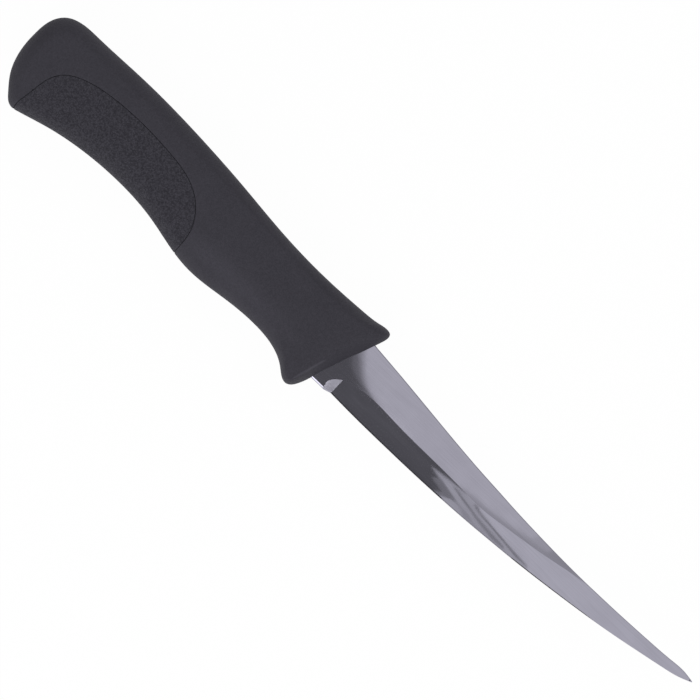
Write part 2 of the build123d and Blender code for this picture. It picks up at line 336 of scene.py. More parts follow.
def polyline_distance(points: np.ndarray, line: np.ndarray, block: int = 2000) -> np.ndarray:
    """Signed distance of points from a line, positive on its left.

    Args:
        points: one row for each point.
        line: the line's corners in order.
        block: how many points are worked out at a time.

    Returns:
        One distance for each point.
    """
    start, step = line[:-1], np.diff(line, axis=0)
    length = (step ** 2).sum(axis=1)
    found = np.empty(len(points))
    for low in range(0, len(points), block):
        offset = points[low:low + block, None, :] - start
        t = np.clip((offset * step).sum(axis=2) / length, 0, 1)
        gap = offset - t[:, :, None] * step
        span = np.hypot(gap[:, :, 0], gap[:, :, 1])
        near = span.argmin(axis=1)
        rows = np.arange(len(near))
        side = step[near, 0] * gap[rows, near, 1] - step[near, 1] * gap[rows, near, 0]
        found[low:low + block] = np.where(side < 0, -1, 1) * span[rows, near]
    return found


def closed(loop: np.ndarray) -> np.ndarray:
    """The loop's points with the first one repeated at the end."""
    return np.concatenate([loop, loop[:1]])


def inside(points: np.ndarray, loop: np.ndarray) -> np.ndarray:
    """Tests points against a closed loop.

    Args:
        points: one row for each point.
        loop: the loop's corners in order.

    Returns:
        Whether each point lies inside.
    """
    found = np.zeros(len(points), dtype=bool)
    x, y = points[:, 0], points[:, 1]
    for (x0, y0), (x1, y1) in zip(loop, np.roll(loop, -1, axis=0)):
        if y0 != y1:
            crosses = (y0 > y) != (y1 > y)
            found ^= crosses & (x < (x1 - x0) * (y - y0) / (y1 - y0) + x0)
    return found


def shifted(line: np.ndarray, amount: float) -> np.ndarray:
    """Moves a line to its left.

    Args:
        line: the line's points in order.
        amount: how far each point moves.

    Returns:
        The moved points.
    """
    steps = np.gradient(line, axis=0)
    steps /= np.hypot(*steps.T)[:, None]
    return line + amount * np.stack([-steps[:, 1], steps[:, 0]], axis=1)


def rings_between(count: int, size: int, wrap: int) -> List[Tuple[int, int, int, int]]:
    """Faces that join rings of corners, each ring to the next.

    Args:
        count: how many rings there are.
        size: how many corners each ring has.
        wrap: how many faces go round between two rings.

    Returns:
        The corners' numbers of each face.
    """
    return [
        (low + k, low + (k + 1) % size, low + size + (k + 1) % size, low + size + k)
        for low in range(0, (count - 1) * size, size)
        for k in range(wrap)
    ]


def new_mesh(name: str, vertices: np.ndarray, faces: Faces) -> bpy.types.Mesh:
    """Makes a mesh.

    Args:
        name: the mesh's name.
        vertices: its corners in metres, in the part's frame.
        faces: the corners' numbers of each face.

    Returns:
        The new mesh.
    """
    mesh = bpy.data.meshes.new(name)
    mesh.from_pydata([tuple(v) for v in vertices], [], [tuple(f) for f in faces])
    return mesh


def make_piece(
    name: str, vertices: np.ndarray, faces: Faces, *materials: bpy.types.Material
) -> bpy.types.Object:
    """Makes a smooth shaded mesh object.

    Args:
        name: the object's name.
        vertices: its corners in metres, in the part's frame.
        faces: the corners' numbers of each face.
        materials: its finishes, the first of which all faces get.

    Returns:
        The new object, linked to the scene.
    """
    mesh = new_mesh(name, vertices, faces)
    mesh.validate()
    mesh.shade_smooth()
    for material in materials:
        mesh.materials.append(material)
    piece = bpy.data.objects.new(name, mesh)
    bpy.context.scene.collection.objects.link(piece)
    return piece


def vertex_normals(vertices: np.ndarray, faces: Faces) -> np.ndarray:
    """Finds the outward directions at the corners of a mesh.

    Args:
        vertices: the corners.
        faces: the corners' numbers of each face.

    Returns:
        One direction for each corner.
    """
    mesh = new_mesh("normals_probe", vertices, faces)
    found = np.empty(len(vertices) * 3, dtype=np.float32)
    mesh.vertex_normals.foreach_get("vector", found)
    bpy.data.meshes.remove(mesh)
    return found.reshape(-1, 3).astype(float)


# Shader maths


@dataclass(frozen=True)
class Noise:
    """Cloudy noise: its features' size in metres, how many finer layers and how strong."""

    size: Size
    detail: float = 2.0
    rough: float = 0.5


class Signal:
    """A shader value that Python's own operators work on."""

    def __init__(self, shader: "Shader", socket: Optional[bpy.types.NodeSocket]) -> None:
        """Wraps one output socket of a shader's node."""
        self.shader = shader
        self.socket = socket

    def _math(self, operation: str, first: "Term", second: "Term") -> "Signal":
        """Adds one Math node for an operation on two terms."""
        values = {0: first, 1: second}
        return self.shader.node("ShaderNodeMath", {"operation": operation}, values)

    def __add__(self, other: "Term") -> "Signal":
        """Sum."""
        return self._math("ADD", self, other)

    def __radd__(self, other: "Term") -> "Signal":
        """Sum, from the right."""
        return self._math("ADD", other, self)

    def __sub__(self, other: "Term") -> "Signal":
        """Difference."""
        return self._math("SUBTRACT", self, other)

    def __rsub__(self, other: "Term") -> "Signal":
        """Difference, from the right."""
        return self._math("SUBTRACT", other, self)

    def __mul__(self, other: "Term") -> "Signal":
        """Product."""
        return self._math("MULTIPLY", self, other)

    def __rmul__(self, other: "Term") -> "Signal":
        """Product, from the right."""
        return self._math("MULTIPLY", other, self)

    def ramp(self, low: float, high: float, start: float = 0.0, end: float = 1.0) -> "Signal":
        """Smoothly maps this value's range onto another.

        Args:
            low: the value that gives start.
            high: the value that gives end.
            start: the result at low.
            end: the result at high.

        Returns:
            The mapped value, kept between start and end.
        """
        settings = {"interpolation_type": "SMOOTHSTEP"}
        values = {0: self, 1: low, 2: high, 3: start, 4: end}
        return self.shader.node("ShaderNodeMapRange", settings, values)


Term = Union[Signal, float]


class Shader:
    """The nodes of one material, or of the world."""

    def __init__(self, owner: Union[bpy.types.Material, bpy.types.World]) -> None:
        """Empties the node tree of what the nodes belong to.

        Args:
            owner: the material or the world.
        """
        owner.use_nodes = True
        self.owner = owner
        self.tree = owner.node_tree
        self.tree.nodes.clear()

    def node(
        self,
        kind: str,
        settings: Optional[Dict[str, object]] = None,
        values: Optional[Dict[Union[str, int], object]] = None,
        output: Union[str, int] = 0,
    ) -> Signal:
        """Adds a node.

        Args:
            kind: the node's type.
            settings: properties of the node, which are set first.
            values: numbers, vectors or signals for its input sockets.
            output: which output the returned signal reads.

        Returns:
            The node's output.
        """
        made = self.tree.nodes.new(kind)
        for name, value in (settings or {}).items():
            setattr(made, name, value)
        for name, value in (values or {}).items():
            if isinstance(value, Signal):
                self.tree.links.new(value.socket, made.inputs[name])
            else:
                made.inputs[name].default_value = value
        return Signal(self, made.outputs[output] if len(made.outputs) else None)

    def places(self, scale: Place = (1.0, 1.0, 1.0)) -> Signal:
        """The surface point in the part's frame, in metres, times a scale on each axis."""
        values = {0: self.node("ShaderNodeTexCoord", output="Object"), 1: scale}
        return self.node("ShaderNodeVectorMath", {"operation": "MULTIPLY"}, values)

    def along(self, direction: Place) -> Signal:
        """How far the surface point lies along a direction, in metres."""
        values = {0: self.places(), 1: direction}
        return self.node("ShaderNodeVectorMath", {"operation": "DOT_PRODUCT"}, values, "Value")

    def grain(self, noise: Noise) -> Signal:
        """Adds cloudy noise.

        Args:
            noise: what the noise is like. Its size is alike on all axes or one for each.

        Returns:
            The noise, from 0 to 1.
        """
        sizes = (noise.size,) * 3 if isinstance(noise.size, float) else noise.size
        point = self.places(tuple(1 / size for size in sizes))
        layers = {"Detail": noise.detail, "Roughness": noise.rough}
        values = {"Vector": point, "Scale": 1.0, **layers}
        return self.node("ShaderNodeTexNoise", {"noise_dimensions": "3D"}, values)

    def scattered(self, size: float) -> Signal:
        """Distance to the nearest of many scattered points, in units of their spacing."""
        values = {"Vector": self.places((1 / size,) * 3), "Scale": 1.0}
        return self.node("ShaderNodeTexVoronoi", {"feature": "SMOOTH_F1"}, values, "Distance")

    def mixed(self, share: Term, first: Colour, second: Colour) -> Signal:
        """One colour that goes over into another by a share."""
        values = {0: share, FIRST_COLOUR: (*first, 1.0), SECOND_COLOUR: (*second, 1.0)}
        return self.node("ShaderNodeMix", {"data_type": "RGBA"}, values, MIXED_COLOUR)

    def bump(self, height: Term) -> Signal:
        """Turns a height in metres into a direction for a Normal socket."""
        values = {"Strength": 1.0, "Distance": 1.0, "Height": height}
        return self.node("ShaderNodeBump", values=values)

    def shown(self) -> Signal:
        """1 on rays that show a thing to the camera or in the steel, and 0 on all others."""
        camera = self.node("ShaderNodeLightPath", output="Is Camera Ray")
        return camera + self.node("ShaderNodeLightPath", output="Is Glossy Ray")

    def glow(self, strength: float) -> Signal:
        """Even white light, where a strength of 1 is white."""
        values = {"Color": (1.0, 1.0, 1.0, 1.0), "Strength": strength}
        return self.node("ShaderNodeEmission", values=values)

    def output(self, surface: Signal) -> bpy.types.Material:
        """Shows a surface and gives back the material."""
        self.node("ShaderNodeOutputMaterial", values={"Surface": surface})
        return self.owner

    def finish(self, values: Dict[str, object]) -> bpy.types.Material:
        """Adds the surface shader with values for its sockets and gives back the material."""
        return self.output(self.node("ShaderNodeBsdfPrincipled", values=values))


# Finishes


@dataclass(frozen=True)
class SoftTouchShell:
    """Charcoal soft-touch moulding with a very fine grain, faint scuffs and a little dust.

    A tone is how far the surface goes from its colour to its lighter colour, which serves both scuffs
    and painted highlights.
    """

    colour: Colour = (0.0382, 0.0365, 0.0448)
    # Lighter colour for scuffs, and for the painted crease highlight and belly sheen.
    scuff_and_highlight: Colour = (0.0640, 0.0612, 0.0752)
    gloss: float = 0.05
    roughness: float = 0.64
    cloud: Noise = Noise((14 * MM, 9 * MM, 9 * MM), 3.0)
    cloud_tone: float = 0.08
    cloud_polish: float = 0.06
    grain: Noise = Noise(0.38 * MM, 2.0, 0.6)
    grain_tone: float = 0.34
    grain_height: float = 0.010 * MM
    grain_dulling: float = 0.05
    mottle: Noise = Noise(1.1 * MM, 1.0)
    mottle_tone: float = 0.06
    scuff: Noise = Noise((6.0 * MM, 0.35 * MM, 0.9 * MM), 4.0, 0.7)
    scuff_band: Pair = (0.60, 0.78)
    worn: Noise = Noise(22 * MM, 1.0)
    worn_band: Pair = (0.50, 0.68)
    worn_tone: float = 0.20
    worn_polish: float = 0.10
    ripple: Noise = Noise(9.0 * MM, 1.0)
    ripple_height: float = 0.012 * MM
    # Where a painted highlight line runs along the guard's front crease, and how strong it is.
    crease_start: Pair = (-8.0 * MM, -4.2 * MM)
    crease_end: Pair = (-11.7 * MM, -17.0 * MM)
    crease_width: float = 0.60 * MM
    crease_fade: float = 2 * MM
    crease_highlight_tone: float = 0.75
    # Centre, reach, fall-off and brightness of a painted sheen on the belly swell.
    sheen_centre: Pair = (-46.0 * MM, -7.4 * MM)
    sheen_reach: Pair = (34.0 * MM, 6.0 * MM)
    patch_band: Pair = (1.0, 0.1)
    sheen_tone: float = 0.33

    def material(self) -> bpy.types.Material:
        """Builds the finish.

        Returns:
            The material.
        """
        shader = Shader(bpy.data.materials.new("soft_touch_shell"))
        cloud = shader.grain(self.cloud)
        fine = shader.grain(self.grain)
        scuff = shader.grain(self.scuff).ramp(*self.scuff_band)
        worn = scuff * shader.grain(self.worn).ramp(*self.worn_band)
        mottle = shader.grain(self.mottle)
        tone = cloud.ramp(*CLOUD_BAND, 0.0, self.cloud_tone)
        tone = tone + fine.ramp(*GRAIN_BAND, 0.0, self.grain_tone) + worn * self.worn_tone
        tone = tone + mottle.ramp(*GRAIN_BAND, -self.mottle_tone, self.mottle_tone)
        # Painted highlight: a lighter line along the guard's front crease.
        tone = tone + self._painted_crease_highlight(shader) * self.crease_highlight_tone
        # Painted sheen: a lighter patch on the belly swell.
        tone = tone + self._painted_belly_sheen(shader) * self.sheen_tone
        roughness = self.roughness - cloud.ramp(*CLOUD_BAND, 0.0, self.cloud_polish)
        roughness = roughness + fine * self.grain_dulling - worn * self.worn_polish
        ripple = shader.grain(self.ripple) * self.ripple_height
        return shader.finish({
            "Base Color": shader.mixed(tone, self.colour, self.scuff_and_highlight),
            "Roughness": roughness,
            "Specular IOR Level": self.gloss,
            "Normal": shader.bump(ripple + fine * self.grain_height),
        })

    def _painted_crease_highlight(self, shader: Shader) -> Signal:
        """Paints a highlight line along the front crease of the guard, where its rounded edge catches
        the light.

        Args:
            shader: the finish's nodes.

        Returns:
            1 on the line and 0 away from it.
        """
        start, end = Vector(self.crease_start), Vector(self.crease_end)
        along = (end - start).normalized()
        across = along.orthogonal()
        run = shader.along((along.x, along.y, 0.0)) - along.dot(start)
        off = shader.along((across.x, across.y, 0.0)) - across.dot(start)
        near = off.ramp(-self.crease_width, 0.0) * off.ramp(0.0, self.crease_width, 1.0, 0.0)
        length = (end - start).length
        fading = run.ramp(length - self.crease_fade, length, 1.0, 0.0)
        return near * run.ramp(0.0, self.crease_fade) * fading

    def _painted_belly_sheen(self, shader: Shader) -> Signal:
        """Paints a lighter patch on the belly swell, a painted sheen where that slope catches the light.

        Args:
            shader: the finish's nodes.

        Returns:
            1 in the middle of the patch and 0 beyond its reach.
        """
        scale = (*(1 / reach for reach in self.sheen_reach), 0.0)
        centre = (*(place / reach for place, reach in zip(self.sheen_centre, self.sheen_reach)), 0.0)
        values = {0: shader.places(scale), 1: centre}
        distance = shader.node("ShaderNodeVectorMath", {"operation": "DISTANCE"}, values, "Value")
        return distance.ramp(*self.patch_band)


@dataclass(frozen=True)
class SparkTexture:
    """Coarse spark-eroded rubber: small rounded grains, coloured lighter on their tops and darker
    between them.
    """

    valley: Colour = (0.0258, 0.0247, 0.0307)
    peak: Colour = (0.0560, 0.0538, 0.0660)
    gloss: float = 0.07
    roughness: float = 0.68
    grain_size: float = 0.50 * MM
    grain_band: Pair = (0.10, 0.70)
    grain_height: float = 0.084 * MM
    grain_share: float = 0.40
    grit: Noise = Noise(0.20 * MM, 3.0, 0.65)
    grit_height: float = 0.055 * MM
    grit_share: float = 0.34
    clump: Noise = Noise(0.95 * MM, 2.0, 0.6)
    clump_height: float = 0.14 * MM
    clump_share: float = 0.26
    speck: Noise = Noise(0.30 * MM, 2.0, 0.6)
    speck_band: Pair = (0.53, 0.69)
    speck_tone: float = 0.50
    relief_tones: Tuple[float, float, float, float] = (0.18, 0.82, 0.0, 0.78)
    relief_dulling: Tuple[float, float, float, float] = (0.2, 0.9, 0.06, -0.08)

    def material(self) -> bpy.types.Material:
        """Builds the finish.

        Returns:
            The material.
        """
        shader = Shader(bpy.data.materials.new("spark_texture"))
        grains = shader.scattered(self.grain_size).ramp(*self.grain_band, 1.0, 0.0)
        grit = shader.grain(self.grit)
        clumps = shader.grain(self.clump)
        specks = shader.grain(self.speck).ramp(*self.speck_band)
        relief = grains * self.grain_share + grit.ramp(*CLOUD_BAND) * self.grit_share
        relief = relief + clumps.ramp(*CLOUD_BAND) * self.clump_share
        tone = relief.ramp(*self.relief_tones) + specks * self.speck_tone
        height = grains * self.grain_height + grit * self.grit_height + clumps * self.clump_height
        return shader.finish({
            "Base Color": shader.mixed(tone, self.valley, self.peak),
            "Roughness": self.roughness + relief.ramp(*self.relief_dulling),
            "Specular IOR Level": self.gloss,
            "Normal": shader.bump(height),
        })


@dataclass(frozen=True)
class GroundSteel:
    """Stainless steel: satin flats with lines along the blade, finely ground bevels.

    A tone is how far the surface goes from its colour to its dulled colour.
    """

    name: str
    roughness: float
    line_height: float
    colour: Colour = (0.364, 0.354, 0.422)
    dulled: Colour = (0.316, 0.307, 0.367)
    lines: Noise = Noise((16 * MM, 0.20 * MM, 0.4 * MM), 3.0, 0.6)
    line_tone: float = 0.65
    streaks: Noise = Noise((30 * MM, 0.9 * MM, 3.0 * MM), 3.0, 0.6)
    streak_dulling: Pair = (-0.010, 0.014)
    cloud: Noise = Noise((9 * MM, 5 * MM, 5 * MM), 3.0)
    cloud_tone: float = 0.35
    cloud_dulling: Pair = (-0.004, 0.008)
    scratch: Noise = Noise((5 * MM, 0.06 * MM, 1.0 * MM), 1.0)
    scratch_band: Pair = (0.74, 0.80)
    scratch_height: float = 0.0004 * MM
    scratch_tone: float = 0.4
    scratch_dulling: float = 0.06
    rub: Noise = Noise(12 * MM, 1.0)
    patch_band: Pair = (0.5, 0.6)

    def material(self) -> bpy.types.Material:
        """Builds the finish.

        Returns:
            The material.
        """
        shader = Shader(bpy.data.materials.new(self.name))
        lines = shader.grain(self.lines)
        streaks = shader.grain(self.streaks)
        cloud = shader.grain(self.cloud)
        scratch = shader.grain(self.scratch).ramp(*self.scratch_band)
        rubbed = scratch * shader.grain(self.rub).ramp(*self.patch_band)
        tone = cloud.ramp(*CLOUD_BAND, 0.0, self.cloud_tone)
        tone = tone + lines.ramp(*CLOUD_BAND, 0.0, self.line_tone) + rubbed * self.scratch_tone
        dulling = streaks.ramp(*CLOUD_BAND, *self.streak_dulling)
        dulling = dulling + cloud.ramp(*CLOUD_BAND, *self.cloud_dulling)
        height = lines * self.line_height - rubbed * self.scratch_height
        return shader.finish({
            "Base Color": shader.mixed(tone, self.colour, self.dulled),
            "Metallic": 1.0,
            "Roughness": self.roughness + dulling + rubbed * self.scratch_dulling,
            "Normal": shader.bump(height),
        })


@dataclass(frozen=True)
class CorePlastic:
    """Plain stiff moulding that the shell hides."""

    colour: Colour = (0.030, 0.030, 0.035)
    flow_colour: Colour = (0.042, 0.042, 0.048)
    flow: Noise = Noise((12 * MM, 3 * MM, 3 * MM))
    grain: Noise = Noise(0.5 * MM)
    grain_height: float = 0.01 * MM
    grain_dulling: float = 0.1
    roughness: float = 0.5

    def material(self) -> bpy.types.Material:
        """Builds the finish.

        Returns:
            The material.
        """
        shader = Shader(bpy.data.materials.new("core_plastic"))
        flow = shader.grain(self.flow)
        fine = shader.grain(self.grain)
        return shader.finish({
            "Base Color": shader.mixed(flow, self.colour, self.flow_colour),
            "Roughness": self.roughness + fine * self.grain_dulling,
            "Normal": shader.bump(fine * self.grain_height),
        })


# Handle


@dataclass
class HandleForm:
    """The handle's outer surface, which the shell and the inlay share.

    The levels run from the widest outline, at angle zero, up to the flat side land.
    """

    back: float
    foot: float
    length: float
    height: float
    half: float
    middle: float
    crown_radius: float = 62.0 * MM
    crown_overrun: float = 6.0 * MM
    crease_softness: float = 0.4 * MM
    bevel_power: float = 1.5
    segment_points: int = 14
    level_count: int = 22
    probe_levels: int = 60
    seam_points: int = 420
    panel_overrun: float = 6.0 * MM
    overrun_points: int = 24

    def __post_init__(self) -> None:
        """Prepares the seam and the probe that reads heights."""
        self.outline = self.level(0.0)
        self.land = self.level(math.pi / 2)
        self.seam = self._seam_line()
        self.probe = self._probe()

    def place(self, along: np.ndarray, height: np.ndarray) -> np.ndarray:
        """Side view points at shares of the handle's length and height."""
        return np.stack([self.back + along * self.length, self.foot + height * self.height], axis=1)

    def level(self, angle: float) -> np.ndarray:
        """Draws the handle's closed outline at one level.

        Args:
            angle: the level, from 0 at the widest outline to a quarter turn at the land.

        Returns:
            Side view points in order.
        """
        rounded = 1 - math.cos(angle)
        bevelled = abs(math.sin(angle)) ** self.bevel_power
        loop = []
        stretches = (FRONT_SHARES, SPINE_SHARES, BUTT_SHARES, BELLY_SHARES)
        for number, table in enumerate(stretches):
            rows = np.array(table)
            bevel = np.array(FRONT_BEVEL_SHARES) if number == 0 else np.zeros(len(rows))
            wide = self.place(rows[:, 0], rows[:, 1])
            slope = bevel * bevelled + (1 - bevel) * rounded
            points = wide + (self.place(rows[:, 2], rows[:, 3]) - wide) * slope[:, None]
            places, own = distances(wide), distances(points)
            first = np.array(STRETCH_ENDS[number]) * own[1] / places[1]
            last = np.array(STRETCH_ENDS[number + 1])
            last = last * (own[-1] - own[-2]) / (places[-1] - places[-2])
            steps = np.arange(self.segment_points) / self.segment_points
            where = (places[:-1, None] + np.diff(places)[:, None] * steps).ravel()
            loop.append(smooth_through(places, points, where, first, last))
        return np.concatenate(loop)

    def _seam_line(self) -> np.ndarray:
        """Draws the seam from below the belly, over the panel's top and down again.

        Returns:
            Side view points in order.
        """
        up = np.array([0.0, 1.0])
        rows = np.array(SEAM_SHARES)
        points = self.place(rows[:, 0], rows[:, 1])
        places = distances(points)
        where = np.linspace(0, places[-1], self.seam_points)
        curve = smooth_through(places, points, where, up, -up)
        drop = np.linspace(self.panel_overrun, 0, self.overrun_points, endpoint=False)[:, None] * -up
        return np.concatenate([curve[0] + drop, curve, curve[-1] + drop[::-1]])

    def _probe(self) -> BVHTree:
        """Builds a fine mesh of one side that finds the height over a plan point.

        Returns:
            The mesh, ready for rays.
        """
        angles = np.linspace(0, math.pi / 2, self.probe_levels)
        rings = [self.level(angle) for angle in angles]
        corners = [
            (x, y, self.half * math.sin(angle))
            for angle, ring in zip(angles, rings)
            for x, y in ring
        ]
        size = len(rings[0])
        return BVHTree.FromPolygons(corners, rings_between(len(rings), size, size))

    def rise(self, points: np.ndarray) -> np.ndarray:
        """Finds the height of the uncrowned surface over the handle's middle plane.

        Args:
            points: plan points.

        Returns:
            One height for each point.
        """
        covered = inside(points, self.land)
        found = np.zeros(len(points))
        down = Vector((0, 0, -1))
        for number, (x, y) in enumerate(points):
            if covered[number]:
                found[number] = self.half
            else:
                hit = self.probe.ray_cast(Vector((x, y, 2 * self.half)), down)[0]
                found[number] = hit.z if hit else 0.0
        return found

    def crowned(self, points: np.ndarray, rise: np.ndarray) -> np.ndarray:
        """Draws the surface in under the crown of the sides, with a soft crease.

        Args:
            points: plan points.
            rise: their height before the crown.

        Returns:
            Their height over the middle plane.
        """
        rows = np.array(CROWN_SHARES)
        span = self.length + 2 * self.crown_overrun
        places = self.back - self.crown_overrun + rows[:, 0] * span
        values = np.stack([self.foot + rows[:, 1] * self.height, rows[:, 2] * self.half], axis=1)
        middle, half = smooth_through(places, values, points[:, 0]).T
        arc = np.sqrt(self.crown_radius ** 2 - (points[:, 1] - middle) ** 2)
        crown = half - self.crown_radius + arc
        overlap = np.clip(self.crease_softness - np.abs(crown - rise), 0, None)
        softened = overlap ** 2 / (4 * self.crease_softness)
        return np.where(rise > 0, np.minimum(crown, rise) - softened, 0.0)


@dataclass
class HandleSkin:
    """A piece of the handle's surface, cut in plan view and folded round both sides."""

    form: HandleForm
    offsets: Tuple[float, ...]
    depths: Tuple[float, ...]
    fill_step: float
    panel_only: bool
    merge_gap: float = 0.0004 * MM
    clear_gap: float = 0.35 * MM
    row_share: float = 0.87
    same_point: float = 1e-5

    def _plan(self) -> Tuple[np.ndarray, np.ndarray, np.ndarray, np.ndarray]:
        """Cuts the plan view along the levels and beside the seam.

        Returns:
            Plan points, their height over the middle plane, their signed distance from
            the seam, and the triangles.
        """
        form = self.form
        points, heights, edges = [], [], []
        total = 0
        for angle in np.linspace(0, math.pi / 2, form.level_count):
            ring = form.level(angle)
            count = len(ring)
            edges += [(total + k, total + (k + 1) % count) for k in range(count)]
            points.append(ring)
            heights.append(form.crowned(ring, np.full(count, form.half * math.sin(angle))))
            total += count
        for offset in self.offsets:
            line = shifted(form.seam, offset)
            edges += [(total + k, total + k + 1) for k in range(len(line) - 1)]
            points.append(line)
            total += len(line)
        points.append(self._fill())
        known = np.concatenate(heights)
        flat = [Vector(p) for p in np.concatenate(points) / MM]
        corners, _, faces, sources, _, _ = delaunay_2d_cdt(flat, edges, [], 0, self.same_point)
        plan = np.array([tuple(c) for c in corners]) * MM
        first = np.array([s[0] if s else -1 for s in sources])
        unknown = (first < 0) | (first >= len(known))
        lift = known[np.where(unknown, 0, first)]
        lift[unknown] = form.crowned(plan[unknown], form.rise(plan[unknown]))
        on_rim = np.abs(polyline_distance(plan[unknown], closed(form.outline))) < self.merge_gap
        lift[np.flatnonzero(unknown)[on_rim]] = 0.0
        lift[np.isin(first, np.arange(len(form.outline)))] = 0.0
        triangles = np.array(faces)
        centres = plan[triangles].mean(axis=1)
        keep = inside(centres, form.outline)
        if self.panel_only:
            keep &= polyline_distance(centres, form.seam) < max(self.offsets)
        return plan, lift, polyline_distance(plan, form.seam), triangles[keep]

    def _fill(self) -> np.ndarray:
        """Spreads loose points over the flat middle of the side, clear of every line.

        Returns:
            Plan points.
        """
        land = self.form.land
        low, high = land.min(axis=0), land.max(axis=0)
        across = np.arange(low[0], high[0], self.fill_step)
        upward = np.arange(low[1], high[1], self.fill_step * self.row_share)
        grid = [(x + (row % 2) * self.fill_step / 2, y) for row, y in enumerate(upward) for x in across]
        points = np.array(grid)
        clear = inside(points, land) & (np.abs(polyline_distance(points, closed(land))) > self.clear_gap)
        gap = polyline_distance(points, self.form.seam)
        edge = self.clear_gap + max(abs(offset) for offset in self.offsets)
        clear &= (gap < -edge) if self.panel_only else (np.abs(gap) > edge)
        return points[clear]

    def mesh(self, thickness: float = 0.0) -> Tuple[np.ndarray, Faces]:
        """Builds the piece.

        Args:
            thickness: how thick the piece is under its surface, or zero for a closed skin.

        Returns:
            Its corners in metres and its faces.
        """
        plan, lift, gap, triangles = self._plan()
        used = np.unique(triangles)
        number = np.full(len(plan), -1)
        number[used] = np.arange(len(used))
        plan, lift, gap = plan[used], lift[used], gap[used]
        triangles = number[triangles]
        first, second, third = (plan[triangles[:, k]] for k in range(3))
        clockwise = np.cross(second - first, third - first) < 0
        triangles[clockwise] = triangles[clockwise][:, ::-1]
        shared = lift <= 0
        lower = np.where(shared, np.arange(len(plan)), -1)
        lower[~shared] = len(plan) + np.arange((~shared).sum())
        top = np.column_stack([plan, self.form.middle + lift])
        bottom = np.column_stack([plan, self.form.middle - lift])[~shared]
        corners = np.concatenate([top, bottom])
        faces = np.concatenate([triangles, lower[triangles][:, ::-1]])
        gaps = np.concatenate([gap, gap[~shared]])
        normals = vertex_normals(corners, faces)
        depth = np.interp(gaps, *zip(*sorted(zip(self.offsets, self.depths))))
        surface = corners - normals * depth[:, None]
        if thickness:
            return self._thickened(surface, corners - normals * thickness, faces)
        return surface, faces

    @staticmethod
    def _thickened(
        surface: np.ndarray, lining: np.ndarray, faces: np.ndarray
    ) -> Tuple[np.ndarray, Faces]:
        """Closes a skin with an inner face and a wall round its border.

        Args:
            surface: the outer corners.
            lining: the inner corners, one for each outer one.
            faces: the outer triangles.

        Returns:
            All corners and all faces.
        """
        count = len(surface)
        pairs = np.concatenate([faces[:, [0, 1]], faces[:, [1, 2]], faces[:, [2, 0]]])
        present = {tuple(pair) for pair in pairs}
        border = [(a, b) for a, b in present if (b, a) not in present]
        walls = [(b, a, count + a, count + b) for a, b in border]
        made = [*faces, *(faces[:, ::-1] + count), *walls]
        return np.concatenate([surface, lining]), made


@dataclass
class Handle:
    """Shell and inlay of the handle, with the seam between them."""

    form: HandleForm
    lip_offsets: Tuple[float, ...] = (0.50 * MM, 0.30 * MM, 0.19 * MM, 0.11 * MM, 0.05 * MM)
    lip_depths: Tuple[float, ...] = (0.0, 0.008 * MM, 0.034 * MM, 0.09 * MM, 0.18 * MM)
    wall_offset: float = 0.02 * MM
    wall_depth: float = 1.4 * MM
    recess_offset: float = -0.30 * MM
    inlay_thickness: float = 1.3 * MM
    shell_step: float = 1.3 * MM
    inlay_step: float = 0.7 * MM
    shell_finish: SoftTouchShell = field(default_factory=SoftTouchShell)
    inlay_finish: SparkTexture = field(default_factory=SparkTexture)

    def build_shell(self) -> bpy.types.Object:
        """Builds the smooth shell, with the recess that the inlay fills.

        Returns:
            The shell.
        """
        offsets = self.lip_offsets + (self.wall_offset, self.recess_offset)
        depths = self.lip_depths + (self.wall_depth, self.wall_depth)
        skin = HandleSkin(self.form, offsets, depths, self.shell_step, panel_only=False)
        return make_piece("shell_moulding", *skin.mesh(), self.shell_finish.material())

    def build_inlay(self) -> bpy.types.Object:
        """Builds the textured panel, rolled down into the seam on both sides.

        Returns:
            The inlay.
        """
        offsets = tuple(-o for o in self.lip_offsets + (self.wall_offset,))
        depths = self.lip_depths + (self.inlay_thickness,)
        skin = HandleSkin(self.form, offsets, depths, self.inlay_step, panel_only=True)
        mesh = skin.mesh(self.inlay_thickness)
        return make_piece("belly_inlay", *mesh, self.inlay_finish.material())


# Blade


@dataclass
class Section:
    """The blade's cross section at some places along it, one value for each place."""

    edge: np.ndarray
    top: np.ndarray
    shoulder: np.ndarray
    spine: np.ndarray
    half: np.ndarray
    ground: np.ndarray
    apex: np.ndarray
    ease: np.ndarray
    late: np.ndarray


